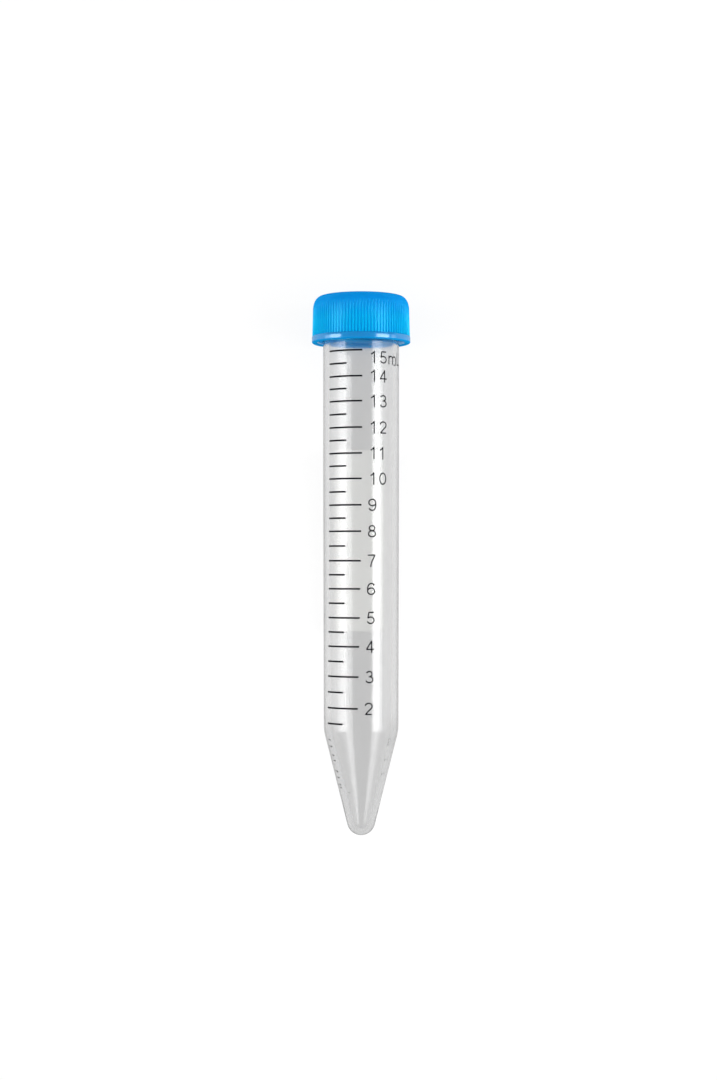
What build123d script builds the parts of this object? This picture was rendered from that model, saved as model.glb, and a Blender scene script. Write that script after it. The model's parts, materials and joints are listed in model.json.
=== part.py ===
"""A 15 ml conical tube with its screw cap, lying on its side as it comes to rest.

Each piece is drawn upright, with its axis on +Z and the tip of the cone at the origin.
resting_place() then lays it down: the cap points to +Y, the printed side faces up, and the part
touches the ground at the cap's lip and at the corner between the body and the cone.
All sizes are in millimetres.
"""

from build123d import *
from math import asin, atan2, cos, degrees, hypot, radians, sin
import os

# ---- Tube, outside -----------------------------------------------------------------------------
TUBE_LENGTH = 119.0         # from the tip to the rim
BODY_R = 8.5                # the straight upper body, which a rack or rotor holds
BODY_TAPER = 0.14           # how much slimmer the body is where the cone begins
STRAIGHT_LENGTH = 26.0      # straight part of the body, down from the neck
NECK_LENGTH = 7.9           # from the rim down to the straight body
NECK_DRAFT = 0.08           # how much slimmer the neck is at the rim
CONE_HEIGHT = 23.5          # from the tip to the start of the body
TIP_R = 3.15                # ball that closes the cone
CORNER_BLEND_R = 10.0       # soft corner between the body and the cone, outside

# ---- Tube, inside ------------------------------------------------------------------------------
MOUTH_WALL = 1.0            # wall at the rim
CORNER_WALL = 1.5           # wall where the cone begins
TIP_WALL = 1.5              # floor at the tip
INNER_TIP_R = 1.6           # ball that closes the inside of the cone
INNER_BLEND_R = 8.0         # soft corner between the bore and the inner cone
RIM_EDGE_R = 0.3            # rounded edges of the rim

# ---- Thread on the neck ------------------------------------------------------------------------
THREAD_PITCH = 3.0
THREAD_TURNS = 1.5
THREAD_HEIGHT = 0.8         # how far the ridge stands out past the body
THREAD_ROOT_WIDTH = 1.5     # ridge width at the neck, along the axis
THREAD_CREST_WIDTH = 0.7    # ridge width at its crest
THREAD_TOP_GAP = 1.9        # from the rim down to the middle of the ridge's upper end
THREAD_BURIED = 0.25        # how deep the ridge is rooted in the wall

# ---- Cap ---------------------------------------------------------------------------------------
CAP_HEIGHT = 10.5
CAP_PLATE = 1.6             # thickness of the cap's top
SEAL_GAP = 0.1              # from the rim up to the cap's top plate
THREAD_GAP = 0.35           # from the tube's thread out to the cap's bore
MOUTH_CHAMFER = 0.5         # lead-in at the cap's open end
SKIRT_WALL = 0.96           # from the cap's bore to the valleys between the ribs
RIB_COUNT = 96
RIB_DEPTH = 0.34            # from the valleys to the crests, beside the band
RIB_ROOT_SHARE = 0.74       # part of a rib's pitch that is filled at the valleys
RIB_CREST_SHARE = 0.36      # part of a rib's pitch that is filled at the crests
CREST_TAPER = 0.16          # how much slimmer the crests are where the shoulder begins
SHOULDER_DROP = 3.0         # how far the shoulder comes down from the top
SHOULDER_INSET = 1.9        # how far the shoulder comes in from the crests
LIP_HEIGHT = 1.5            # plain band at the open end
LIP_STEP = 0.1              # how far the band stands out past the crests
LIP_EDGE_R = 0.35           # rounded edges of the band

# ---- Plug seal inside the cap ------------------------------------------------------------------
PLUG_LENGTH = 3.0
PLUG_WALL = 0.85
PLUG_GAP = 0.13             # from the tube's bore in to the plug
PLUG_LEAD = 0.3             # how much slimmer the plug is at its lower end
PLUG_EDGE_R = 0.25

# ---- Sizes that follow from these ----------------------------------------------------------------
NECK_Z = TUBE_LENGTH - NECK_LENGTH
STRAIGHT_Z = NECK_Z - STRAIGHT_LENGTH
MOUTH_OUTER_R = BODY_R - NECK_DRAFT
MOUTH_BORE_R = MOUTH_OUTER_R - MOUTH_WALL
CORNER_OUTER_R = BODY_R - BODY_TAPER
CORNER_BORE_R = CORNER_OUTER_R - CORNER_WALL
THREAD_START_Z = TUBE_LENGTH - THREAD_TOP_GAP - THREAD_PITCH * THREAD_TURNS
THREAD_CREST_R = BODY_R + THREAD_HEIGHT
CAP_PLATE_Z = TUBE_LENGTH + SEAL_GAP
CAP_TOP_Z = CAP_PLATE_Z + CAP_PLATE
CAP_LIP_Z = CAP_TOP_Z - CAP_HEIGHT
CAP_BORE_R = THREAD_CREST_R + THREAD_GAP
RIB_ROOT_R = CAP_BORE_R + SKIRT_WALL
CREST_R = RIB_ROOT_R + RIB_DEPTH
SHOULDER_CREST_R = CREST_R - CREST_TAPER
SHOULDER_Z = CAP_TOP_Z - SHOULDER_DROP
LIP_R = CREST_R + LIP_STEP
PLUG_R = MOUTH_BORE_R - PLUG_GAP
PLUG_Z = CAP_PLATE_Z - PLUG_LENGTH


def rounded(face, corners):
    """The face with each corner, given as (radius, height, blend), rounded."""
    for r, z, blend in corners:
        corner = face.vertices().sort_by_distance(Vector(r, z))[0]
        face = fillet(corner, blend)
    return face


def turned_face(face):
    """A solid turned about the axis from a face drawn as (radius, height)."""
    return revolve(Plane.XZ * face, Axis.Z)


def ball_touch(ball_r, ball_z, corner_r, corner_z):
    """Where the straight side from a corner touches the ball on the axis, and the side's half angle."""
    reach = hypot(corner_r, corner_z - ball_z)
    half_angle = atan2(corner_r, corner_z - ball_z) - asin(ball_r / reach)
    touch = (ball_r * cos(half_angle), ball_z - ball_r * sin(half_angle))
    return touch, half_angle


def cone_shape(ball_r, floor_z, corner_r, upper_line, blend_r):
    """The turned solid inside a wall line: a ball end, a cone, a soft corner and the line above it.

    upper_line lists (radius, height) from above the corner up to the top.
    """
    ball_z = floor_z + ball_r
    touch, half_angle = ball_touch(ball_r, ball_z, corner_r, CONE_HEIGHT)
    halfway = (radians(90) - half_angle) / 2
    lowest = (0, floor_z)
    middle = (ball_r * sin(halfway), ball_z - ball_r * cos(halfway))
    top_middle = (0, upper_line[-1][1])
    outline = ThreePointArc(lowest, middle, touch)
    outline += Polyline(touch, (corner_r, CONE_HEIGHT), *upper_line, top_middle, lowest)
    face = rounded(make_face(outline), [(corner_r, CONE_HEIGHT, blend_r)])
    # Turned from a quarter turn away, so that the seam doesn't run into the start of the thread.
    return revolve(Plane.YZ * face, Axis.Z)


def thread_ridge():
    """The single-start ridge that the cap screws onto."""
    rooted_r = MOUTH_OUTER_R - THREAD_BURIED
    path = Pos(0, 0, THREAD_START_Z) * Helix(THREAD_PITCH, THREAD_PITCH * THREAD_TURNS, rooted_r)
    across = Plane(origin=path @ 0, x_dir=(1, 0, 0), z_dir=path % 0)
    height = THREAD_CREST_R - rooted_r
    section = Polyline(
        (0, -THREAD_ROOT_WIDTH / 2),
        (height, -THREAD_CREST_WIDTH / 2),
        (height, THREAD_CREST_WIDTH / 2),
        (0, THREAD_ROOT_WIDTH / 2),
        close=True,
    )
    return sweep(across * make_face(section), path=path, is_frenet=True)


def make_tube():
    """The moulded tube: body, cone and threaded neck in one piece."""
    outer_line = [(BODY_R, STRAIGHT_Z), (BODY_R, NECK_Z), (MOUTH_OUTER_R, TUBE_LENGTH)]
    bore_line = [(MOUTH_BORE_R, TUBE_LENGTH)]
    outside = cone_shape(TIP_R, 0, CORNER_OUTER_R, outer_line, CORNER_BLEND_R)
    inside = cone_shape(INNER_TIP_R, TIP_WALL, CORNER_BORE_R, bore_line, INNER_BLEND_R)
    shell = outside - inside
    rim = shell.edges().group_by(Axis.Z)[-1]
    return fillet(rim, RIM_EDGE_R) + thread_ridge()


def cap_envelope():
    """The cap's outside over the rib crests, with its rounded shoulder, from the band's top up."""
    lip_top = CAP_LIP_Z + LIP_HEIGHT
    shoulder_r = SHOULDER_CREST_R - SHOULDER_INSET
    outline = EllipticalCenterArc((shoulder_r, SHOULDER_Z), SHOULDER_INSET, SHOULDER_DROP, arc_size=90)
    outline += Polyline(
        (shoulder_r, CAP_TOP_Z),
        (0, CAP_TOP_Z),
        (0, lip_top),
        (CREST_R, lip_top),
        (SHOULDER_CREST_R, SHOULDER_Z),
    )
    return turned_face(make_face(outline))


def ribbed_bar():
    """A bar with the cap's ribs all round it, taller than the skirt.

    Its ribs run half their depth past the crests, so that the envelope trims them.
    """
    pitch = 360 / RIB_COUNT
    beyond_r = CREST_R + RIB_DEPTH / 2
    beyond_share = RIB_CREST_SHARE - (RIB_ROOT_SHARE - RIB_CREST_SHARE) / 2
    points = []
    for rib in range(RIB_COUNT):
        for r, share in (
            (RIB_ROOT_R, -RIB_ROOT_SHARE),
            (beyond_r, -beyond_share),
            (beyond_r, beyond_share),
            (RIB_ROOT_R, RIB_ROOT_SHARE),
        ):
            angle = radians((rib + share / 2) * pitch)
            points.append((r * cos(angle), r * sin(angle)))
    bottom = Plane.XY.offset(CAP_LIP_Z + LIP_HEIGHT)
    return extrude(bottom * make_face(Polyline(*points, close=True)), CAP_HEIGHT)


def cap_lip():
    """The plain band round the open end."""
    lip_top = CAP_LIP_Z + LIP_HEIGHT
    corners = [(0, CAP_LIP_Z), (LIP_R, CAP_LIP_Z), (LIP_R, lip_top), (0, lip_top)]
    band = make_face(Polyline(*corners, close=True))
    edges = [(LIP_R, CAP_LIP_Z, LIP_EDGE_R), (LIP_R, lip_top, LIP_EDGE_R / 2)]
    return turned_face(rounded(band, edges))


def cap_hollow():
    """All that is open inside the cap: the bore that clears the thread, and the inside of the plug."""
    plug_inner_r = PLUG_R - PLUG_WALL
    plug_tip_r = PLUG_R - PLUG_LEAD
    face = make_face(
        Polyline(
            (0, CAP_LIP_Z),
            (CAP_BORE_R + MOUTH_CHAMFER, CAP_LIP_Z),
            (CAP_BORE_R, CAP_LIP_Z + MOUTH_CHAMFER),
            (CAP_BORE_R, CAP_PLATE_Z),
            (PLUG_R, CAP_PLATE_Z),
            (plug_tip_r, PLUG_Z),
            (plug_inner_r - PLUG_LEAD / 2, PLUG_Z),
            (plug_inner_r, CAP_PLATE_Z),
            (0, CAP_PLATE_Z),
            close=True,
        )
    )
    edges = [(plug_tip_r, PLUG_Z, PLUG_EDGE_R)]
    return turned_face(rounded(face, edges))


def make_cap():
    """The moulded screw cap: ribbed skirt, plain band, top plate and plug seal in one piece.

    It is screwed home with the valley between two ribs straight up and straight down.
    """
    ribbed = cap_envelope() & ribbed_bar()
    half_a_rib = 180 / RIB_COUNT
    return Rot(0, 0, half_a_rib) * (ribbed + cap_lip() - cap_hollow())


def resting_tilt():
    """How far the axis rises towards the cap, in degrees, from the two round edges that touch the ground.

    One is the blend between the body and the cone, the other the outer edge of the cap's band.
    """
    _, cone_angle = ball_touch(TIP_R, TIP_R, CORNER_OUTER_R, CONE_HEIGHT)
    body_angle = atan2(BODY_TAPER, STRAIGHT_Z - CONE_HEIGHT)
    reach = CORNER_BLEND_R / cos((cone_angle - body_angle) / 2)
    slope = (cone_angle + body_angle) / 2
    blend_z, blend_r = CONE_HEIGHT + reach * sin(slope), CORNER_OUTER_R - reach * cos(slope)
    run, rise = CAP_LIP_Z + LIP_EDGE_R - blend_z, LIP_R - LIP_EDGE_R - blend_r
    return degrees(atan2(rise, run) + asin((LIP_EDGE_R - CORNER_BLEND_R) / hypot(run, rise)))


def resting_place(pieces):
    """The pieces laid on their side, with the box round them standing on the origin."""
    laid = [Rot(resting_tilt() - 90, 0, 0) * piece for piece in pieces]
    boxes = [piece.bounding_box() for piece in laid]
    middle_x = (min(box.min.X for box in boxes) + max(box.max.X for box in boxes)) / 2
    middle_y = (min(box.min.Y for box in boxes) + max(box.max.Y for box in boxes)) / 2
    lowest_z = min(box.min.Z for box in boxes)
    return [Pos(-middle_x, -middle_y, -lowest_z) * piece for piece in laid]


if __name__ == "__main__":
    os.makedirs("parts", exist_ok=True)
    tube, cap = resting_place([make_tube(), make_cap()])
    export_step(tube, "parts/tube.step")
    export_step(cap, "parts/cap.step")
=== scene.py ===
import json
from math import asin, atan2, ceil, cos, degrees, hypot, pi, radians, sin, tan

import bpy
from bpy.props import FloatProperty, FloatVectorProperty, IntProperty, PointerProperty
from mathutils import Matrix, Vector


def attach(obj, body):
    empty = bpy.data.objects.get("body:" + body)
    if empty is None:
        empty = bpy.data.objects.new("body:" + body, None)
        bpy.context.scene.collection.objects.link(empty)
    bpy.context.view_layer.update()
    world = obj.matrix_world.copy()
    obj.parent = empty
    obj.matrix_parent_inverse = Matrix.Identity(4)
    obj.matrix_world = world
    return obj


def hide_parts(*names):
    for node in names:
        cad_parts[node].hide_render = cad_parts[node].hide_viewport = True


bl_info = {
    "name": "15 ml conical tube",
    "version": (1, 0, 0),
    "blender": (4, 5, 0),
    "location": "View3D > Sidebar > Conical tube",
    "description": "Models a graduated 15 ml conical tube with its screw cap, and a plain stage for it",
    "category": "Object",
}

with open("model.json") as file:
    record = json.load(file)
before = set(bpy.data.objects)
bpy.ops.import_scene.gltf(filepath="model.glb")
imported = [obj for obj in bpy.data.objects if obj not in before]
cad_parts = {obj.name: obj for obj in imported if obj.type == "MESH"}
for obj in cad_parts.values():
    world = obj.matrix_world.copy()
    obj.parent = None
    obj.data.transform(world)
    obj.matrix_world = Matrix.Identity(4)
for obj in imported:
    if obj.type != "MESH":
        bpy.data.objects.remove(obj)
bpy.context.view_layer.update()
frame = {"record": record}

MM = 0.001
TUBE_NODE = "tube"
CAP_NODE = "cap"
# From the tube's rim up to the underside of the cap's top.
RIM_GAP = 0.1 * MM


def mount(name):
    """The place and direction of one of the part's mounts."""
    found = next(m for m in frame["record"]["mounts"] if m["name"] == name)
    return Vector(found["pos_m"]), Vector(found["axis"]), found["dims"]


CAP_TOP, TUBE_AXIS, _ = mount("cap_top")
BODY_R = mount("body")[2]["r_mm"] * MM
THREAD_CREST_R = mount("neck_thread")[2]["r_mm"] * MM
TILT = asin(TUBE_AXIS.z)


def linear(hex_colour):
    """An sRGB hex colour as linear red, green, blue and alpha."""
    channels = [int(hex_colour[i : i + 2], 16) / 255 for i in (1, 3, 5)]
    return [c / 12.92 if c <= 0.04045 else ((c + 0.055) / 1.055) ** 2.4 for c in channels] + [1.0]


# ---- Sizes and colours that a user may change ----------------------------------------------------


def length(name, description, millimetres):
    return FloatProperty(
        name=name, description=description, default=millimetres * MM, unit="LENGTH", precision=5
    )


def angle(name, description, in_degrees):
    return FloatProperty(
        name=name, description=description, default=radians(in_degrees), unit="ROTATION"
    )


def colour(name, description, hex_colour):
    return FloatVectorProperty(
        name=name, description=description, default=linear(hex_colour),
        size=4, subtype="COLOR", min=0, max=1,
    )


class TubeSizes(bpy.types.PropertyGroup):
    """Sizes of the moulded tube, drawn upright with the tip of its cone at the origin."""

    length: length("Length", "From the tip to the rim", 119.0)
    body_taper: length("Body taper", "How much slimmer the body is where the cone begins", 0.14)
    neck: length("Neck", "From the rim down to the straight body", 7.9)
    straight: length("Straight part", "Straight part of the body, down from the neck", 26.0)
    neck_draft: length("Neck draft", "How much slimmer the neck is at the rim", 0.08)
    cone: length("Cone", "From the tip to the start of the body", 23.5)
    tip_radius: length("Tip radius", "Ball that closes the cone", 3.15)
    blend_radius: length("Blend", "Soft corner between body and cone", 10.0)
    mouth_wall: length("Wall at the mouth", "Wall at the rim", 1.0)
    corner_wall: length("Wall at the cone", "Wall where the cone begins", 1.5)
    tip_wall: length("Floor", "Floor at the tip", 1.5)
    inner_tip_radius: length("Inner tip radius", "Ball that closes the inside", 1.6)
    inner_blend_radius: length("Inner blend", "Soft corner between bore and inner cone", 8.0)
    rim_edge: length("Rim edge", "Rounded edges of the rim", 0.3)
    thread_pitch: length("Thread pitch", "Rise of the thread in one turn", 3.0)
    thread_turns: FloatProperty(name="Thread turns", description="Turns of the thread", default=1.5)
    thread_root: length("Thread root width", "Width of the ridge at the neck", 1.5)
    thread_crest: length("Thread crest width", "Width of the ridge at its crest", 0.7)
    thread_top_gap: length("Thread top gap", "From the rim down to the ridge's upper end", 1.9)
    facets: IntProperty(name="Facets", description="Flats round the tube", default=192)


class CapSizes(bpy.types.PropertyGroup):
    """Sizes of the moulded screw cap."""

    height: length("Height", "From the open end to the top", 10.5)
    plate: length("Top plate", "Thickness of the top", 1.6)
    thread_gap: length("Thread gap", "From the tube's thread out to the bore", 0.35)
    chamfer: length("Lead-in", "Chamfer at the open end", 0.5)
    skirt_wall: length("Skirt wall", "From the bore to the valleys between the ribs", 0.96)
    ribs: IntProperty(name="Ribs", description="Number of ribs", default=96)
    rib_depth: length("Rib depth", "From the valleys to the crests", 0.34)
    crest_taper: length("Crest taper", "How much slimmer the crests are at the shoulder", 0.16)
    shoulder_drop: length("Shoulder drop", "How far the shoulder comes down from the top", 3.0)
    shoulder_inset: length("Shoulder inset", "How far the shoulder comes in from the crests", 1.9)
    lip_height: length("Band height", "Plain band at the open end", 1.5)
    lip_step: length("Band step", "How far the band stands out past the crests", 0.095)
    lip_edge: length("Band edge", "Rounded edges of the band", 0.35)
    plug_length: length("Plug length", "Plug seal under the top", 3.0)
    plug_wall: length("Plug wall", "Wall of the plug seal", 0.85)
    plug_gap: length("Plug gap", "From the tube's bore in to the plug", 0.13)
    plug_lead: length("Plug lead", "How much slimmer the plug is at its lower end", 0.3)
    plug_edge: length("Plug edge", "Rounded lower edge of the plug", 0.25)
    thread_reach: length("Inner thread reach", "How far the cap's own thread stands into the bore", 0.85)


class PrintSizes(bpy.types.PropertyGroup):
    """Sizes of the ink: graduation lines, numerals and the writing patch."""

    line_width: length("Line width", "Width of a graduation line", 0.38)
    line_start: angle("Line start", "Left end of every line, round from the middle of the print", -55.0)
    long_end: angle("Long line end", "Right end of a whole-millilitre line", 1.9)
    short_end: angle("Short line end", "Right end of a half-millilitre line", -22.3)
    numeral_height: length("Numeral height", "Height of a numeral", 2.75)
    pen: length("Pen", "Width of a numeral's strokes", 0.29)
    skew: angle("Skew", "How far the print has turned at the lowest numeral", -6.9)
    film: length("Ink film", "Thickness of the ink", 0.02)
    patch_low: length("Patch low", "Lower edge of the writing patch, from the tip", 45.4)
    patch_high: length("Patch high", "Upper edge of the writing patch, from the tip", 86.7)
    patch_middle: angle("Patch middle", "Middle of the patch, round from the print", 184.5)
    patch_half: angle("Patch half width", "Half the patch's width", 51.0)


class Colours(bpy.types.PropertyGroup):
    """Colours of the finishes."""

    plastic: colour("Polypropylene", "Tint of light that passes through the wall", "#F8F8F8")
    # The skirt's blue is painted lighter than the cap's own blue, a painted glow as if light shone through
    # the thin skirt.
    cap: colour("Cap", "Blue of the cap's thin skirt", "#00B3EC")
    # The top's blue is painted darker, as painted shade where less light falls on the shoulder.
    cap_thick: colour("Cap top", "Blue of the cap's thick top", "#008FE3")
    cap_band: colour("Cap band", "Blue of the thick band at the open end", "#008BD2")
    ink: colour("Ink", "Graduations and numerals", "#1E1E22")
    patch: colour("Writing patch", "White ink of the patch", "#F4F4F2")


# ---- Small modelling helpers --------------------------------------------------------------------


def deselect_all():
    bpy.ops.object.select_all(action="DESELECT")
    bpy.context.view_layer.objects.active = None


def choose(obj):
    """Selects only this object and makes it active."""
    deselect_all()
    obj.select_set(True)
    bpy.context.view_layer.objects.active = obj


def named(obj, name):
    obj.name = name
    obj.data.name = name
    return obj


def arc(centre, radius, start, end, count):
    """Points (radius, height) on an arc, with angles in degrees from the outward direction."""
    return bow(*centre, radius, radius, start, end, count)


def bow(x, y, across, up, start, end, count=12):
    """Points on a stretch of an oval, with angles in degrees that turn left from the right-hand side."""
    steps = [radians(start + (end - start) * i / count) for i in range(count + 1)]
    return [(x + across * cos(a), y + up * sin(a)) for a in steps]


def rounded_corner(before, corner, after, radius, count):
    """The points of a round corner that touches both of its sides."""
    to_before = (Vector(before) - Vector(corner)).normalized()
    to_after = (Vector(after) - Vector(corner)).normalized()
    half = to_before.angle(to_after) / 2
    centre = Vector(corner) + (to_before + to_after).normalized() * radius / sin(half)
    start = Vector(corner) + to_before * radius / tan(half)
    end = Vector(corner) + to_after * radius / tan(half)
    points = []
    for i in range(count + 1):
        spoke = (start - centre).lerp(end - centre, i / count).normalized() * radius
        points.append(tuple(centre + spoke))
    return points


def held(outline, reach):
    """The outline with extra points near the ends of its long sides, to hold smooth shading there."""
    points = [outline[0]]
    for start, end in zip(outline, outline[1:]):
        side = Vector(end) - Vector(start)
        if side.length > 4 * reach:
            points.append(tuple(Vector(start) + side.normalized() * reach))
            points.append(tuple(Vector(end) - side.normalized() * reach))
        points.append(end)
    return points


def single_vertex(name):
    """A new object in edit mode with one selected vertex at the origin, to draw an outline from."""
    deselect_all()
    bpy.ops.mesh.primitive_plane_add(size=MM, location=(0, 0, 0))
    obj = named(bpy.context.object, name)
    bpy.ops.object.mode_set(mode="EDIT")
    bpy.ops.mesh.select_mode(type="VERT")
    bpy.ops.mesh.select_all(action="SELECT")
    bpy.ops.mesh.merge(type="CENTER")
    return obj


def turned(name, outline, facets):
    """Spins an outline of (radius, height) about the axis, as on a lathe, into a closed shell."""
    obj = single_vertex(name)
    bpy.ops.transform.translate(value=(outline[0][0], 0, outline[0][1]))
    for (r0, z0), (r1, z1) in zip(outline, outline[1:]):
        bpy.ops.mesh.extrude_region_move(TRANSFORM_OT_translate={"value": (r1 - r0, 0, z1 - z0)})
    bpy.ops.mesh.select_all(action="SELECT")
    bpy.ops.mesh.spin(steps=facets, angle=2 * pi, center=(0, 0, 0), axis=(0, 0, 1))
    bpy.ops.mesh.select_all(action="SELECT")
    nearly = 0.001 * MM
    bpy.ops.mesh.remove_doubles(threshold=nearly)
    bpy.ops.mesh.normals_make_consistent(inside=False)
    bpy.ops.object.mode_set(mode="OBJECT")
    return obj


def thread_section(reach, root, flank, crest):
    """A thread ridge's section of (distance out, height), from its reach and its three half widths."""
    side = [(0, root), (0.85 * reach, flank), (reach, crest)]
    return side + [(out, -up) for out, up in reversed(side)]


def helix_ridge(name, section, base_r, start_z, pitch, turns, facets):
    """Sweeps a section of (distance out, height) up a helix, with ends that run out into the wall."""
    obj = single_vertex(name)
    first = section[0]
    bpy.ops.transform.translate(value=(base_r + first[0], 0, start_z + first[1]))
    for (o0, h0), (o1, h1) in zip(section, section[1:]):
        bpy.ops.mesh.extrude_region_move(TRANSFORM_OT_translate={"value": (o1 - o0, 0, h1 - h0)})
    bpy.ops.mesh.select_all(action="SELECT")
    bpy.ops.mesh.edge_face_add()
    bpy.ops.mesh.delete(type="ONLY_FACE")
    bpy.ops.object.mode_set(mode="OBJECT")
    screw = obj.modifiers.new("Screw", "SCREW")
    screw.angle = 2 * pi * turns
    screw.screw_offset = pitch * turns
    screw.steps = screw.render_steps = int(facets * turns)
    bpy.ops.object.modifier_apply(modifier=screw.name)
    run_out(obj, base_r, start_z, pitch, turns)
    bpy.ops.object.mode_set(mode="EDIT")
    bpy.ops.mesh.select_all(action="DESELECT")
    bpy.ops.mesh.select_mode(type="EDGE")
    bpy.ops.mesh.select_non_manifold()
    bpy.ops.mesh.fill_holes(sides=len(section))
    bpy.ops.mesh.select_all(action="SELECT")
    bpy.ops.mesh.normals_make_consistent(inside=False)
    bpy.ops.object.mode_set(mode="OBJECT")
    return obj


def run_out(obj, base_r, start_z, pitch, turns):
    """Sinks the ridge nearly to its root over the last part of a turn at each end."""
    # The part of a turn that each end takes, and the part of its reach that the ridge keeps there.
    fade, stub = 0.12, 0.12
    for vertex in obj.data.vertices:
        x, y, z = vertex.co
        turn = atan2(y, x) / (2 * pi)
        along = turn + round((z - start_z) / pitch - turn)
        share = min(1, max(0, along) / fade, max(0, turns - along) / fade)
        ease = share * share * (3 - 2 * share)
        radius = hypot(x, y)
        new_radius = base_r + (radius - base_r) * (stub + (1 - stub) * ease)
        vertex.co = (x * new_radius / radius, y * new_radius / radius, z)


def copied(obj):
    """A copy of an object, with its own mesh."""
    copy = obj.copy()
    copy.data = obj.data.copy()
    bpy.context.scene.collection.objects.link(copy)
    return copy


def joined(name, objects):
    """Joins like objects into one."""
    deselect_all()
    for obj in objects:
        obj.select_set(True)
    bpy.context.view_layer.objects.active = objects[0]
    bpy.ops.object.join()
    return named(bpy.context.object, name)


def unite(obj, other):
    """Joins other into obj as one solid."""
    choose(obj)
    union = obj.modifiers.new("Union", "BOOLEAN")
    union.operation = "UNION"
    union.solver = "EXACT"
    union.object = other
    bpy.ops.object.modifier_apply(modifier=union.name)
    bpy.data.objects.remove(other)
    # The seam of a union leaves points that nearly touch and slivers with no area.
    nearly = 0.003 * MM
    bpy.ops.object.mode_set(mode="EDIT")
    bpy.ops.mesh.select_all(action="SELECT")
    bpy.ops.mesh.remove_doubles(threshold=nearly)
    bpy.ops.mesh.dissolve_degenerate(threshold=nearly)
    bpy.ops.mesh.normals_make_consistent(inside=False)
    bpy.ops.object.mode_set(mode="OBJECT")


def lay_down(obj):
    """Puts a piece drawn upright where the part lies, with its place in its mesh."""
    choose(obj)
    obj.matrix_world = laid_place() @ obj.matrix_world
    bpy.ops.object.transform_apply(location=True, rotation=True, scale=True)


def laid_place():
    """From the upright drawing to the part's resting place."""
    tube = bpy.context.scene.tube_sizes
    cap = bpy.context.scene.cap_sizes
    tip = CAP_TOP - TUBE_AXIS * (tube.length + RIM_GAP + cap.plate)
    return Matrix.Translation(tip) @ Matrix.Rotation(TILT - pi / 2, 4, "X")


def smooth(obj, limit):
    """Shades smoothly wherever faces meet at less than limit degrees."""
    choose(obj)
    bpy.ops.object.shade_smooth_by_angle(angle=radians(limit))


def finish_piece(obj, material, body):
    """Lays the piece down, gives it its finish and fixes it to its body."""
    lay_down(obj)
    obj.data.materials.clear()
    obj.data.materials.append(material)
    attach(obj, body)


# ---- Shapes of the tube -------------------------------------------------------------------------


def body_radius(height):
    """Outer radius of the body at a height above the tip."""
    tube = bpy.context.scene.tube_sizes
    straight_z = tube.length - tube.neck - tube.straight
    share = min(1, max(0, (height - tube.cone) / (straight_z - tube.cone)))
    return BODY_R - tube.body_taper * (1 - share)


def cone_side(ball_r, floor_z, corner_r):
    """The ball's centre height and the half angle of the straight side that meets the corner."""
    tube = bpy.context.scene.tube_sizes
    ball_z = floor_z + ball_r
    reach = hypot(corner_r, tube.cone - ball_z)
    return ball_z, atan2(corner_r, tube.cone - ball_z) - asin(ball_r / reach)


def cone_radius(height):
    """Outer radius of the cone at a height above the tip."""
    tube = bpy.context.scene.tube_sizes
    _, half = cone_side(tube.tip_radius, 0, BODY_R - tube.body_taper)
    return BODY_R - tube.body_taper - (tube.cone - height) * tan(half)


def cone_line(ball_r, floor_z, corner_r, above, blend_r):
    """Points from the axis up the ball and the cone to the soft corner under the body."""
    tube = bpy.context.scene.tube_sizes
    ball_z, half = cone_side(ball_r, floor_z, corner_r)
    line = arc((0, ball_z), ball_r, -90, -degrees(half), count=14)
    line[0] = (0, floor_z)
    line += rounded_corner(line[-1], (corner_r, tube.cone), above, blend_r, count=6)
    return line


def tube_outline():
    """The closed outline of the tube's wall: up the outside, over the rim and down the bore."""
    tube = bpy.context.scene.tube_sizes
    neck_z = tube.length - tube.neck
    straight_z = neck_z - tube.straight
    mouth_r = BODY_R - tube.neck_draft
    bore_r = mouth_r - tube.mouth_wall
    corner_r = BODY_R - tube.body_taper
    inner_corner_r = corner_r - tube.corner_wall
    outside = cone_line(tube.tip_radius, 0, corner_r, (BODY_R, straight_z), tube.blend_radius)
    outside += [(BODY_R, straight_z), (BODY_R, neck_z)]
    edge = tube.rim_edge
    rim = arc((mouth_r - edge, tube.length - edge), edge, 0, 90, count=5)
    rim += arc((bore_r + edge, tube.length - edge), edge, 90, 180, count=5)
    inside = cone_line(
        tube.inner_tip_radius, tube.tip_wall, inner_corner_r,
        (bore_r, tube.length), tube.inner_blend_radius,
    )
    return outside + rim + inside[::-1]


# The marks on the cone, side by side: how far round from the print's middle in degrees, then width,
# thickness, how far they stand out, and their heights above the tip, in mm.
CONE_MARKS = (
    (-63, 1.3, 0.3, 0.16, (21.7, 20.2, 18.2, 17.0, 14.6, 13.2, 11.6, 10.9)),
    (55, 1.5, 0.28, 0.12, (21.9, 21.3, 20.7, 17.25, 14.1)),
    (-41, 1.9, 0.25, 0.1, (10.0,)),
)


def raised_bar(width, thickness, stand_off):
    """A small bar with softened edges, to stand half out of the cone as a moulded graduation."""
    deselect_all()
    bpy.ops.mesh.primitive_cube_add(size=1, location=(0, 0, 0))
    bar = bpy.context.object
    bar.dimensions = (width, 2 * stand_off, thickness)
    bpy.ops.object.transform_apply(location=False, rotation=False, scale=True)
    bpy.ops.object.mode_set(mode="EDIT")
    bpy.ops.mesh.select_all(action="SELECT")
    bpy.ops.mesh.bevel(offset=0.3 * thickness, segments=2, affect="EDGES")
    bpy.ops.object.mode_set(mode="OBJECT")
    return bar


# ---- Shapes of the print ------------------------------------------------------------------------


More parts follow.
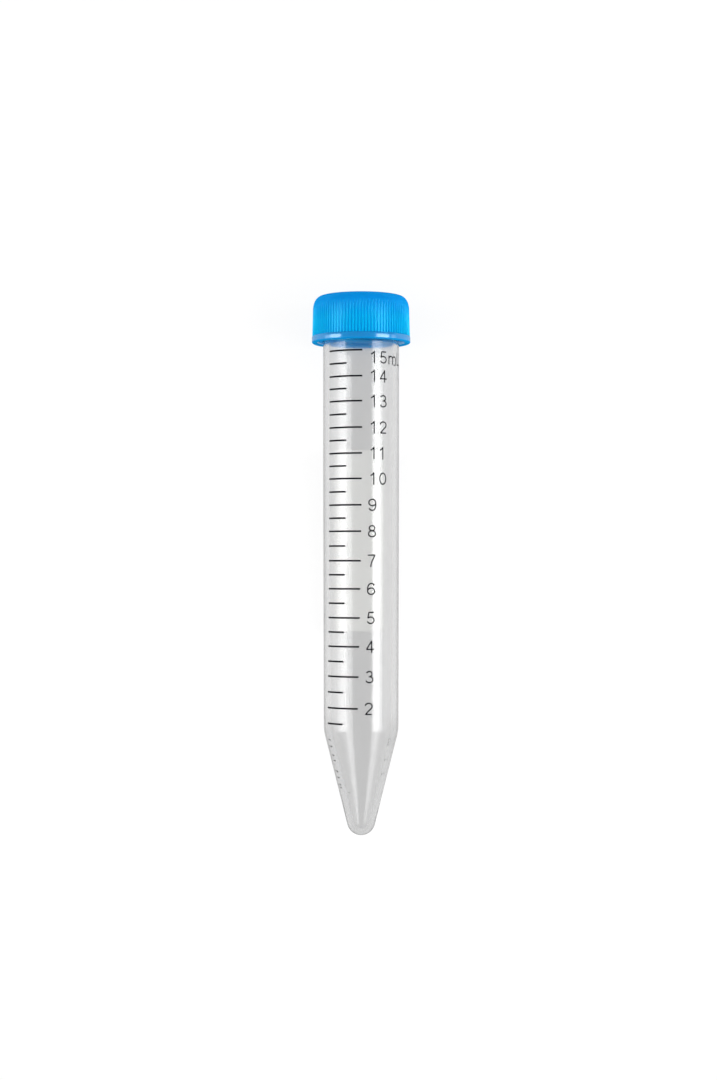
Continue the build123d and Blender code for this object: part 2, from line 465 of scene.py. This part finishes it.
# Height of each whole millilitre's line above the tip, in mm, as printed.
GRADUATIONS = {
    1: 21.9, 2: 28.9, 3: 35.9, 4: 42.55, 5: 48.9, 6: 55.3, 7: 61.5, 8: 68.0,
    9: 73.8, 10: 79.6, 11: 85.2, 12: 90.9, 13: 96.7, 14: 102.2, 15: 107.9,
}
LOWEST_NUMERAL, HIGHEST_NUMERAL = 2, 15
# The highest numeral stands below its line, with the unit beside it.
HIGHEST_DROP = 1.55 * MM
# Where each character starts, in degrees round from the middle of the print.
ONE_DIGIT = (11.9,)
TWO_DIGITS = (14.2, 28.9)
UNIT = (("m", 45.5), ("L", 68.5))


def mark_height(millilitres):
    """Height of a graduation above the tip; a half millilitre stands midway between its neighbours."""
    whole = min(HIGHEST_NUMERAL - 1, int(millilitres))
    share = millilitres - whole
    return (GRADUATIONS[whole] * (1 - share) + GRADUATIONS[whole + 1] * share) * MM


def print_turn(height):
    """How far round the print has drifted at a height, because it was laid on slightly askew."""
    top, bottom = mark_height(HIGHEST_NUMERAL), mark_height(LOWEST_NUMERAL)
    share = min(1, max(0, (top - height) / (top - bottom)))
    return bpy.context.scene.print_sizes.skew * share * share


def wrap_film(obj, height, turned_by):
    """Wraps a flat film, drawn as (angle, height, depth), onto the outside of the body."""
    film = bpy.context.scene.print_sizes.film
    lift = 0.004 * MM
    for vertex in obj.data.vertices:
        round_by, up, depth = vertex.co
        z = height + up
        radius = body_radius(z) + lift + film * min(1, max(0, depth))
        a = round_by + turned_by
        vertex.co = (radius * sin(a), -radius * cos(a), z)


def flat_strip(start, end, width):
    """A flat film from one angle to another, to be wrapped, in squares fine enough to follow the body."""
    deselect_all()
    degrees_a_column, row_height = 2, 4 * MM
    columns = max(2, int(degrees(end - start) / degrees_a_column))
    rows = max(1, int(width / row_height))
    bpy.ops.mesh.primitive_grid_add(
        x_subdivisions=columns, y_subdivisions=rows, size=1, location=(0, 0, 0)
    )
    strip = bpy.context.object
    strip.dimensions = (end - start, width, 0)
    strip.location = ((start + end) / 2, 0, -1)
    bpy.ops.object.transform_apply(location=True, rotation=False, scale=True)
    bpy.ops.object.mode_set(mode="EDIT")
    bpy.ops.mesh.select_all(action="SELECT")
    bpy.ops.mesh.extrude_region_move(TRANSFORM_OT_translate={"value": (0, 0, 2)})
    bpy.ops.mesh.select_all(action="SELECT")
    bpy.ops.mesh.normals_make_consistent(inside=False)
    bpy.ops.object.mode_set(mode="OBJECT")
    return strip


def pen_strokes(name, strokes, pen):
    """Draws strokes, each a chain of points, with a round pen, one unit high in the middle."""
    longest_step, nearly = 0.07, 0.001
    chains = []
    for points in (short_steps(points, longest_step) for points in strokes):
        chain = single_vertex(name)
        bpy.ops.transform.translate(value=(*points[0], 0))
        for (x0, y0), (x1, y1) in zip(points, points[1:]):
            bpy.ops.mesh.extrude_region_move(TRANSFORM_OT_translate={"value": (x1 - x0, y1 - y0, 0)})
        bpy.ops.mesh.select_all(action="SELECT")
        bpy.ops.mesh.remove_doubles(threshold=nearly)
        bpy.ops.object.mode_set(mode="OBJECT")
        chains.append(chain)
    obj = joined(name, chains)
    bpy.ops.object.convert(target="CURVE")
    obj = bpy.context.object
    obj.data.twist_mode = "Z_UP"
    obj.data.bevel_depth = pen / 2
    obj.data.bevel_resolution = 2
    obj.data.use_fill_caps = True
    bpy.ops.object.convert(target="MESH")
    obj = bpy.context.object
    obj.scale = (1, 1, 2 / pen)
    bpy.ops.object.transform_apply(location=False, rotation=False, scale=True)
    return named(obj, name)


def short_steps(points, longest):
    """The same chain of points with more between them, so that no step is longer than longest."""
    finer = [points[0]]
    for (x0, y0), (x1, y1) in zip(points, points[1:]):
        count = max(1, ceil(hypot(x1 - x0, y1 - y0) / longest))
        finer += [(x0 + (x1 - x0) * i / count, y0 + (y1 - y0) * i / count) for i in range(1, count + 1)]
    return finer


def characters(pen):
    """The strokes of each character, one unit high, for a pen of this width: plain upright numerals."""
    wide, low, high = 0.69, pen / 2, 1 - pen / 2
    left, right, middle = pen / 2, wide - pen / 2, wide / 2
    half = middle - left
    return {
        "0": [bow(middle, 0.5, half, high - 0.5, 90, 450, 24)],
        "1": [[(0.04, 0.73), (0.17, 0.80), (0.27, 0.88), (0.32, 0.96)], [(0.32, 1.0), (0.32, 0.0)]],
        "2": [
            bow(middle, 0.69, half, high - 0.69, 168, -28)
            + [(0.38, 0.36), (left + 0.03, low), (right, low)]
        ],
        "3": [
            bow(middle - 0.01, 0.735, 0.24, high - 0.735, 158, -75),
            bow(middle, 0.2875, half, 0.24, 100, -162),
        ],
        "4": [[(0.475, 1.0), (0.475, 0.0)], [(0.465, 0.95), (left, 0.295), (wide, 0.295)]],
        "5": [
            [(right - 0.03, high), (0.2, high), (0.115, 0.49)],
            bow(middle, 0.32, half, 0.26, 138, -160),
        ],
        "6": [
            bow(middle + 0.02, 0.5, half + 0.02, high - 0.5, 38, 190),
            bow(middle, 0.315, half, 0.2575, 0, 360, 20),
        ],
        "7": [[(0.03, high), (right, high), (0.50, 0.71), (0.38, 0.45), (0.30, 0.2), (0.27, 0.0)]],
        "8": [
            bow(middle, 0.745, 0.23, high - 0.745, 0, 360, 18),
            bow(middle, 0.295, half, 0.2375, 0, 360, 20),
        ],
        "9": [
            bow(middle - 0.02, 0.5, half + 0.02, high - 0.5, 218, 370),
            bow(middle, 0.685, half, 0.2575, 0, 360, 20),
        ],
        "m": [
            [(left, 0.70), (left, 0.0)],
            [(left, 0.40)] + bow(left + 0.235, 0.46, 0.235, 0.19, 180, 0, 8) + [(left + 0.47, 0.0)],
            [(left + 0.47, 0.40)] + bow(left + 0.705, 0.46, 0.235, 0.19, 180, 0, 8) + [(left + 0.94, 0.0)],
        ],
        "L": [[(left, 1.0), (left, low), (0.58, low)]],
    }


def film_character(drawn, height, start):
    """A copy of a drawn character, wrapped onto the body from an angle, with its middle at a height."""
    size = bpy.context.scene.print_sizes.numeral_height
    obj = copied(drawn)
    for vertex in obj.data.vertices:
        x, y, depth = vertex.co
        vertex.co = (start + x * size / BODY_R, (y - 0.5) * size, depth)
    wrap_film(obj, height, print_turn(height))
    return obj


# ---- Materials ----------------------------------------------------------------------------------


def new_material(name):
    material = bpy.data.materials.new(name)
    material.use_nodes = True
    material.node_tree.nodes.clear()
    return material


def node(material, kind, links=(), **settings):
    """Adds a node. links are pairs of an input's name or number and the output that feeds it.

    settings are the node's properties or, by name, the values of its inputs.
    """
    made = material.node_tree.nodes.new(kind)
    for key, value in settings.items():
        socket = made.inputs.get(key.replace("_", " "))
        if hasattr(made, key):
            setattr(made, key, value)
        elif socket is not None:
            socket.default_value = value
        else:
            raise KeyError(f"{kind} has no {key}")
    for name, source in links:
        material.node_tree.links.new(source, made.inputs[name])
    return made


def set_stops(ramp, stops):
    """Sets a colour ramp's stops, each a position and a colour, from low to high."""
    elements = ramp.color_ramp.elements
    while len(elements) < len(stops):
        elements.new(1.0)
    for element, (position, colour_value) in zip(elements, stops):
        element.position, element.color = position, colour_value


def polypropylene():
    """Moulded translucent polypropylene: a clear wall with a little milk in it and a soft gloss."""
    sizes = bpy.context.scene.colours
    m = new_material("Moulded translucent polypropylene")
    place = node(m, "ShaderNodeTexCoord")
    # The chilled mould leaves a slow ripple that makes reflections waver a little.
    ripple_length, ripple_depth = 7 * MM, 0.05 * MM
    ripple = node(
        m, "ShaderNodeTexNoise", [("Vector", place.outputs["Object"])],
        Scale=1 / ripple_length, Detail=1.0,
    )
    bump = node(
        m, "ShaderNodeBump", [("Height", ripple.outputs["Fac"])],
        Strength=0.008, Distance=ripple_depth,
    )
    clear = node(
        m, "ShaderNodeBsdfPrincipled", [("Normal", bump.outputs["Normal"])],
        Base_Color=sizes.plastic, Roughness=0.12, IOR=1.49, Transmission_Weight=1.0,
    )
    milky = node(m, "ShaderNodeBsdfTranslucent", Color=linear("#EEEFF0"))
    wall = node(
        m, "ShaderNodeMixShader", [(1, clear.outputs["BSDF"]), (2, milky.outputs["BSDF"])], Fac=0.003
    )
    # Lamps reach what is behind the wall, such as the writing patch.
    path = node(m, "ShaderNodeLightPath")
    spread = node(
        m, "ShaderNodeMath",
        [(0, path.outputs["Is Shadow Ray"]), (1, path.outputs["Is Diffuse Ray"])],
        operation="MAXIMUM",
    )
    let_through = node(m, "ShaderNodeBsdfTransparent", Color=linear("#FCFCFC"))
    mix = node(
        m, "ShaderNodeMixShader",
        [("Fac", spread.outputs["Value"]), (1, wall.outputs["Shader"]), (2, let_through.outputs["BSDF"])],
    )
    node(m, "ShaderNodeOutputMaterial", [("Surface", mix.outputs["Shader"])])
    return m


def polyethylene():
    """Moulded blue polyethylene: satin, a little see-through in its thin skirt, with a fine grain."""
    sizes = bpy.context.scene.colours
    height = bpy.context.scene.cap_sizes.height
    m = new_material("Moulded blue polyethylene")
    place = node(m, "ShaderNodeTexCoord")
    along = node(m, "ShaderNodeVectorMath", [(0, place.outputs["Object"])], operation="DOT_PRODUCT")
    along.inputs[1].default_value = TUBE_AXIS
    # Painted light and shade along the cap: the thin skirt over the threads is painted lighter, as if lit
    # through its wall, and the thick top is painted darker, as shade. The band at the open end is darker
    # than the skirt.
    top = CAP_TOP.dot(TUBE_AXIS)
    below_top = node(
        m, "ShaderNodeMapRange", [("Value", along.outputs["Value"])],
        From_Min=top, From_Max=top - height, To_Min=0.0, To_Max=1.0,
    )
    painted_light_and_shade = node(m, "ShaderNodeValToRGB", [("Fac", below_top.outputs["Result"])])
    skirt_end, band_start = 0.85, 0.857
    set_stops(painted_light_and_shade, (
        (0.14, sizes.cap_thick), (0.55, sizes.cap), (skirt_end, sizes.cap), (band_start, sizes.cap_band)
    ))
    # The mould was blasted where it makes the ribs, which come out satin, and polished at the band.
    polished = node(m, "ShaderNodeValToRGB", [("Fac", below_top.outputs["Result"])])
    dull, glossy = (0, 0, 0, 1), (1, 1, 1, 1)
    set_stops(polished, ((band_start, dull), (0.862, glossy), (0.971, glossy), (0.976, dull)))
    # The blasted grain is nearer 0.03 mm, too fine to show, so it is drawn coarser.
    grain_length, grain_depth = 0.12 * MM, 0.02 * MM
    grain = node(
        m, "ShaderNodeTexNoise", [("Vector", place.outputs["Object"])],
        Scale=1 / grain_length, Detail=2.0,
    )
    bump = node(
        m, "ShaderNodeBump", [("Height", grain.outputs["Fac"])],
        Strength=0.12, Distance=grain_depth,
    )
    skin = node(
        m, "ShaderNodeBsdfPrincipled",
        [
            ("Normal", bump.outputs["Normal"]), ("Base Color", painted_light_and_shade.outputs["Color"]),
            ("Coat Weight", polished.outputs["Color"]),
        ],
        Roughness=0.3, IOR=1.5, Specular_IOR_Level=0.0, Coat_IOR=1.9, Coat_Roughness=0.1,
        Subsurface_Weight=0.3, Subsurface_Radius=(0.3, 0.7, 1.0), Subsurface_Scale=1.2 * MM,
    )
    # Light that grazes the dyed plastic comes back blue, so its sheen is tinted and faint.
    sheen = node(
        m, "ShaderNodeBsdfGlossy", [("Normal", bump.outputs["Normal"])],
        Color=linear("#65CFF6"), Roughness=0.26,
    )
    mix = node(
        m, "ShaderNodeMixShader", [(1, skin.outputs["BSDF"]), (2, sheen.outputs["BSDF"])], Fac=0.08
    )
    node(m, "ShaderNodeOutputMaterial", [("Surface", mix.outputs["Shader"])])
    return m


def ink(name, colour_value, coverage):
    """Screen-printed ink: satin, and covering a little unevenly, between the two shares of coverage."""
    m = new_material(name)
    place = node(m, "ShaderNodeTexCoord")
    # The mesh of the screen is about 0.1 mm, too fine to show, so its unevenness is drawn coarser.
    speck = 0.25 * MM
    film = node(
        m, "ShaderNodeTexNoise", [("Vector", place.outputs["Object"])], Scale=1 / speck, Detail=3.0
    )
    thinnest, thickest = coverage
    cover = node(
        m, "ShaderNodeMapRange", [("Value", film.outputs["Fac"])],
        From_Min=0.3, From_Max=0.7, To_Min=thinnest, To_Max=thickest,
    )
    skin = node(
        m, "ShaderNodeBsdfPrincipled", [("Alpha", cover.outputs["Result"])],
        Base_Color=colour_value, Roughness=0.6, IOR=1.5, Specular_IOR_Level=0.02,
    )
    node(m, "ShaderNodeOutputMaterial", [("Surface", skin.outputs["BSDF"])])
    return m


# ---- Operators ----------------------------------------------------------------------------------


class TUBE_OT_wall(bpy.types.Operator):
    """Model the moulded tube: ball tip, cone, body, threaded neck, rim and bore"""

    bl_idname = "conical_tube.wall"
    bl_label = "Tube"

    def execute(self, context):
        tube = context.scene.tube_sizes
        corner_reach, rooting = 0.15 * MM, 0.25 * MM
        wall = turned("tube_wall", held(tube_outline(), corner_reach), tube.facets)
        rooted_r = BODY_R - tube.neck_draft - rooting
        start_z = tube.length - tube.thread_top_gap - tube.thread_pitch * tube.thread_turns
        section = thread_section(
            THREAD_CREST_R - rooted_r,
            root=tube.thread_root / 2, flank=0.62 * tube.thread_crest, crest=0.3 * tube.thread_crest,
        )
        ridge = helix_ridge(
            "neck_thread", section, rooted_r, start_z, tube.thread_pitch, tube.thread_turns, tube.facets
        )
        unite(wall, ridge)
        unite(wall, self.cone_marks())
        smooth(wall, limit=25)
        finish_piece(wall, polypropylene(), TUBE_NODE)
        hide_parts(TUBE_NODE)
        return {"FINISHED"}

    def cone_marks(self):
        """Small bars raised on the cone by the mould, a scale for the smallest volumes."""
        bars = []
        for side, width, thickness, stand_off, heights in CONE_MARKS:
            model = raised_bar(width * MM, thickness * MM, stand_off * MM)
            round_to = Matrix.Rotation(radians(side), 4, "Z")
            for height in heights:
                bar = copied(model)
                place = Vector((0, -cone_radius(height * MM), height * MM))
                bar.data.transform(round_to @ Matrix.Translation(place))
                bars.append(bar)
            bpy.data.objects.remove(model)
        return joined("cone_marks", bars)


# How much of a rib is cut away at each step round, from the middle of one valley to the next.
RIB_CUT = (1, 1, 0.37, 0, 0, 0, 0.37, 1)


class TUBE_OT_cap(bpy.types.Operator):
    """Model the screw cap: ribbed skirt, band, shoulder, top, plug seal and inner thread"""

    bl_idname = "conical_tube.cap"
    bl_label = "Cap"

    def execute(self, context):
        tube, cap = context.scene.tube_sizes, context.scene.cap_sizes
        plate_z = tube.length + RIM_GAP
        top_z = plate_z + cap.plate
        lip_z = top_z - cap.height
        lip_top = lip_z + cap.lip_height
        bore_r = THREAD_CREST_R + cap.thread_gap
        root_r = bore_r + cap.skirt_wall
        crest_r = root_r + cap.rib_depth
        shoulder_crest_r = crest_r - cap.crest_taper
        shoulder_z = top_z - cap.shoulder_drop
        lip_r = crest_r + cap.lip_step
        shoulder_r = shoulder_crest_r - cap.shoulder_inset
        plug_r = BODY_R - tube.neck_draft - tube.mouth_wall - cap.plug_gap
        plug_z = plate_z - cap.plug_length
        outline = [(0, top_z), (0.5 * shoulder_r, top_z)]
        outline += bow(shoulder_r, shoulder_z, cap.shoulder_inset, cap.shoulder_drop, 90, 0, count=14)
        rows = 4
        for row in range(1, rows + 1):
            out = (crest_r - shoulder_crest_r) * row / rows
            outline.append((shoulder_crest_r + out, shoulder_z + (lip_top - shoulder_z) * row / rows))
        edge, slant = cap.lip_edge, 0.3 * MM
        outline += arc((lip_r - edge / 2, lip_top - edge / 2), edge / 2, 90, 0, count=3)
        outline += arc((lip_r - edge, lip_z + edge), edge, 0, -90, count=5)
        outline += [(bore_r + cap.chamfer, lip_z), (bore_r, lip_z + cap.chamfer)]
        outline += [(bore_r, plate_z - slant), (bore_r - slant, plate_z), (plug_r, plate_z)]
        tip_r = plug_r - cap.plug_lead
        outline += rounded_corner(
            (plug_r, plate_z), (tip_r, plug_z), (0, plug_z), cap.plug_edge, count=4
        )
        plug_bore_r = plug_r - cap.plug_wall
        outline += [(plug_bore_r - cap.plug_lead / 2, plug_z), (plug_bore_r, plate_z), (0, plate_z)]
        shell = turned("cap_shell", outline, cap.ribs * len(RIB_CUT))
        self.cut_ribs(shell, root_r, lip_top, cap.ribs)
        rooting, turns = 0.2 * MM, 1.25
        section = thread_section(
            -(cap.thread_reach + rooting), root=0.7 * MM, flank=0.4 * MM, crest=0.2 * MM
        )
        # Half a pitch lower than the tube's ridge, so that it lies between that ridge's turns.
        start_z = tube.length - tube.thread_top_gap - tube.thread_pitch * (tube.thread_turns + 0.5)
        ridge = helix_ridge(
            "cap_thread", section, bore_r + rooting, start_z, tube.thread_pitch, turns, tube.facets
        )
        unite(shell, ridge)
        smooth(shell, limit=40)
        finish_piece(shell, polyethylene(), CAP_NODE)
        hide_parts(CAP_NODE)
        return {"FINISHED"}

    def cut_ribs(self, shell, root_r, lip_top, ribs):
        """Draws the valleys between the ribs in to their root radius, and the flanks part of the way."""
        pitch = 2 * pi / ribs
        facets = len(RIB_CUT)
        tolerance = 0.0001 * MM
        for vertex in shell.data.vertices:
            x, y, z = vertex.co
            radius = hypot(x, y)
            if z < lip_top - tolerance or radius <= root_r:
                continue
            facet = round((atan2(y, x) % pitch) / pitch * facets) % facets
            new_radius = radius - RIB_CUT[facet] * (radius - root_r)
            vertex.co = (x * new_radius / radius, y * new_radius / radius, z)


class TUBE_OT_print(bpy.types.Operator):
    """Print the graduation lines, the numerals and the white writing patch"""

    bl_idname = "conical_tube.print"
    bl_label = "Print"

    def execute(self, context):
        colours = context.scene.colours
        black = ink("Screen-printed black ink", colours.ink, (0.93, 1.0))
        lines = self.lines()
        finish_piece(lines, black, TUBE_NODE)
        numerals = self.numerals()
        finish_piece(numerals, black, TUBE_NODE)
        patch = self.patch()
        white = ink("Screen-printed white ink", colours.patch, (0.86, 1.0))
        finish_piece(patch, white, TUBE_NODE)
        return {"FINISHED"}

    def lines(self):
        """A short line for each half millilitre and a long one for each whole."""
        sizes = bpy.context.scene.print_sizes
        models = [
            flat_strip(sizes.line_start, end, sizes.line_width) for end in (sizes.long_end, sizes.short_end)
        ]
        made = []
        for halves in range(2 * LOWEST_NUMERAL - 1, 2 * HIGHEST_NUMERAL + 1):
            height = mark_height(halves / 2)
            # The long one for a whole millilitre, the short one for a half.
            line = copied(models[halves % 2])
            wrap_film(line, height, print_turn(height))
            made.append(line)
        for model in models:
            bpy.data.objects.remove(model)
        return joined("graduation_lines", made)

    def numerals(self):
        """The numerals 2 to 15, and the unit under the highest line."""
        sizes = bpy.context.scene.print_sizes
        pen = sizes.pen / sizes.numeral_height
        drawn = {key: pen_strokes("character", strokes, pen) for key, strokes in characters(pen).items()}
        made = []
        for value in range(LOWEST_NUMERAL, HIGHEST_NUMERAL + 1):
            height = mark_height(value)
            places = list(zip(str(value), ONE_DIGIT if value < 10 else TWO_DIGITS))
            if value == HIGHEST_NUMERAL:
                height -= HIGHEST_DROP
                places += UNIT
            for character, start in places:
                made.append(film_character(drawn[character], height, radians(start)))
        for obj in drawn.values():
            bpy.data.objects.remove(obj)
        return joined("graduation_numerals", made)

    def patch(self):
        """The white patch on the back, for writing on."""
        sizes = bpy.context.scene.print_sizes
        height = (sizes.patch_low + sizes.patch_high) / 2
        start, end = sizes.patch_middle - sizes.patch_half, sizes.patch_middle + sizes.patch_half
        patch = flat_strip(start, end, sizes.patch_high - sizes.patch_low)
        wrap_film(patch, height, turned_by=0)
        return named(patch, "writing_patch")


# ---- Stage --------------------------------------------------------------------------------------


# How bright the floor is, where 1 is white: to the eye, mirrored in the part, seen through the part
# from above, and seen through it beside the body.
# The step from behind to beside is a painted shadow of the body on the floor.
FLOOR_SEEN, FLOOR_MIRRORED, FLOOR_BEHIND, FLOOR_BESIDE = 1.06, 0.62, 0.64, 0.8
# How bright the world is, as soft light on the part and mirrored in it.
WORLD_SOFT, WORLD_MIRRORED = 0.62, 0.15
# Lamps: where each stands, in degrees from straight above, how wide it is in degrees, and its radiance.
STRIPS = (
    ("left_strip", -61, 27, 3.8),
    ("left_tail", -82, 16, 1.6),
    ("right_strip", 51, 32, 3.9),
    ("right_tail", 80, 14, 1.4),
)
FILLS = (("left_fill", -52, 34, 2.8), ("right_fill", 52, 34, 3.6))
# The camera's distance, the height on the tube that it looks at, its lens in mm, and how far its view
# is shifted across and up, as shares of the image's height.
CAMERA_DISTANCE, CAMERA_TARGET, CAMERA_LENS = 430 * MM, 61 * MM, 63.9
CAMERA_SHIFT = (-2.6 / 1080, 23 / 1080)


class TUBE_OT_stage(bpy.types.Operator):
    """Set up the pale floor, the soft studio light and the camera"""

    bl_idname = "conical_tube.stage"
    bl_label = "Stage"

    def execute(self, context):
        self.floor()
        self.light()
        self.camera(context)
        return {"FINISHED"}

    def floor(self):
        """A pale table: white to the eye, greyer in the part and through it, shaded by the part, with a
        painted shadow under the body seen through it.
        """
        deselect_all()
        bpy.ops.mesh.primitive_plane_add(size=4, location=(0, 0, 0))
        floor = named(bpy.context.object, "floor")
        m = new_material("Pale studio floor")
        path = node(m, "ShaderNodeLightPath")
        matte = node(m, "ShaderNodeBsdfDiffuse", Color=linear("#E8E8E8"))
        # A ray bent by a soft clear wall counts as both kinds, and only a true reflection as one.
        mirrored = node(
            m, "ShaderNodeMath",
            [(0, path.outputs["Is Glossy Ray"]), (1, path.outputs["Is Transmission Ray"])],
            operation="SUBTRACT", use_clamp=True,
        )
        # Seen through the part, the table is painted brighter beside the body than under it, a painted
        # shadow of the body.
        place = node(m, "ShaderNodeTexCoord")
        across = node(m, "ShaderNodeSeparateXYZ", [("Vector", place.outputs["Object"])])
        aside = node(m, "ShaderNodeMath", [(0, across.outputs["X"])], operation="ABSOLUTE")
        shade = node(
            m, "ShaderNodeMapRange", [("Value", aside.outputs["Value"])],
            From_Min=6.5 * MM, From_Max=11 * MM, To_Min=0.0, To_Max=FLOOR_BESIDE - FLOOR_BEHIND,
        )
        body_end = (laid_place() @ Vector((0, 0, bpy.context.scene.tube_sizes.cone))).y
        beside = node(
            m, "ShaderNodeMapRange", [("Value", across.outputs["Y"])],
            From_Min=body_end, From_Max=body_end + 3 * MM, To_Min=0.0, To_Max=1.0,
        )
        lifted = node(
            m, "ShaderNodeMath",
            [(0, shade.outputs["Result"]), (1, beside.outputs["Result"])], operation="MULTIPLY_ADD",
        )
        lifted.inputs[2].default_value = FLOOR_BEHIND
        bright = node(
            m, "ShaderNodeMapRange",
            [("Value", mirrored.outputs["Value"]), ("To Min", lifted.outputs["Value"])],
            To_Max=FLOOR_MIRRORED,
        )
        shown = node(
            m, "ShaderNodeMapRange",
            [("Value", path.outputs["Is Camera Ray"]), ("To Min", bright.outputs["Result"])],
            To_Max=FLOOR_SEEN,
        )
        glow = node(
            m, "ShaderNodeEmission", [("Strength", shown.outputs["Result"])], Color=linear("#FFFFFF")
        )
        # The glow is left out of the light that the table throws back onto the part.
        plain = node(
            m, "ShaderNodeMapRange", [("Value", path.outputs["Is Diffuse Ray"])], To_Min=0.8, To_Max=0.0
        )
        mix = node(
            m, "ShaderNodeMixShader",
            [("Fac", plain.outputs["Result"]), (1, matte.outputs["BSDF"]), (2, glow.outputs["Emission"])],
        )
        node(m, "ShaderNodeOutputMaterial", [("Surface", mix.outputs["Shader"])])
        floor.data.materials.append(m)

    def light(self):
        """An even pale world, strips and tails that draw the long reflections, and two softer fills."""
        world = bpy.data.worlds.new("Soft studio")
        bpy.context.scene.world = world
        world.use_nodes = True
        world.node_tree.nodes.clear()
        path = node(world, "ShaderNodeLightPath")
        sharp = node(
            world, "ShaderNodeMath",
            [(0, path.outputs["Is Glossy Ray"]), (1, path.outputs["Is Transmission Ray"])],
            operation="MAXIMUM",
        )
        level = node(
            world, "ShaderNodeMapRange", [("Value", sharp.outputs["Value"])],
            To_Min=WORLD_SOFT, To_Max=WORLD_MIRRORED,
        )
        seen = node(
            world, "ShaderNodeMath", [(0, level.outputs["Result"]), (1, path.outputs["Is Camera Ray"])],
            operation="MAXIMUM",
        )
        sky = node(
            world, "ShaderNodeBackground", [("Strength", seen.outputs["Value"])], Color=linear("#FFFFFF")
        )
        node(world, "ShaderNodeOutputWorld", [("Surface", sky.outputs["Background"])])
        for name, side, across, radiance in STRIPS:
            strip = self.softbox(name, side, across, radiance)
            strip.visible_diffuse = False
        for name, side, across, radiance in FILLS:
            fill = self.softbox(name, side, across, radiance)
            fill.visible_glossy = False
            fill.visible_transmission = False

    def softbox(self, name, side, across, radiance):
        """A long rectangular lamp beside the part."""
        distance, along = 0.32, 0.24
        direction = Vector((sin(radians(side)), 0, cos(radians(side))))
        deselect_all()
        bpy.ops.object.light_add(type="AREA", location=Vector((0, 0, BODY_R)) + direction * distance)
        lamp = bpy.context.object
        lamp.name = name
        lamp.data.shape = "RECTANGLE"
        lamp.data.size = 2 * distance * tan(radians(across / 2))
        lamp.data.size_y = along
        lamp.data.energy = radiance * pi * lamp.data.size * lamp.data.size_y
        lamp.rotation_euler = (0, radians(side), 0)
        return lamp

    def camera(self, context):
        """A camera that looks down on the print, with the tube's tip towards the bottom of the image."""
        upright = laid_place()
        target = upright @ Vector((0, 0, CAMERA_TARGET))
        away = upright.to_3x3() @ Vector((0, -1, 0))
        camera = bpy.data.objects.new("camera", bpy.data.cameras.new("camera"))
        context.scene.collection.objects.link(camera)
        camera.location = target + away * CAMERA_DISTANCE
        camera.rotation_euler = (TILT, 0, 0)
        camera.data.lens = CAMERA_LENS
        camera.data.shift_x, camera.data.shift_y = CAMERA_SHIFT
        camera.data.clip_start = 0.01
        camera.data.clip_end = 20
        context.scene.camera = camera
        context.scene.view_settings.view_transform = "Standard"


class TUBE_PT_panel(bpy.types.Panel):
    """Lists the pieces of the conical tube"""

    bl_idname = "TUBE_PT_panel"
    bl_label = "Conical tube"
    bl_space_type = "VIEW_3D"
    bl_region_type = "UI"
    bl_category = "Conical tube"

    def draw(self, context):
        for operator in OPERATORS:
            self.layout.operator(operator.bl_idname)
        for group in GROUPS:
            for name in group.__annotations__:
                self.layout.prop(getattr(context.scene, GROUPS[group]), name)


GROUPS = {TubeSizes: "tube_sizes", CapSizes: "cap_sizes", PrintSizes: "print_sizes", Colours: "colours"}
OPERATORS = [TUBE_OT_wall, TUBE_OT_cap, TUBE_OT_print, TUBE_OT_stage]


def register():
    for group, attribute in GROUPS.items():
        bpy.utils.register_class(group)
        setattr(bpy.types.Scene, attribute, PointerProperty(type=group))
    for cls in (*OPERATORS, TUBE_PT_panel):
        bpy.utils.register_class(cls)


def unregister():
    for cls in (TUBE_PT_panel, *reversed(OPERATORS)):
        bpy.utils.unregister_class(cls)
    for group, attribute in GROUPS.items():
        delattr(bpy.types.Scene, attribute)
        bpy.utils.unregister_class(group)


def main():
    register()
    bpy.ops.conical_tube.wall()
    bpy.ops.conical_tube.cap()
    bpy.ops.conical_tube.print()
    bpy.ops.conical_tube.stage()


if __name__ == "__main__":
    main()
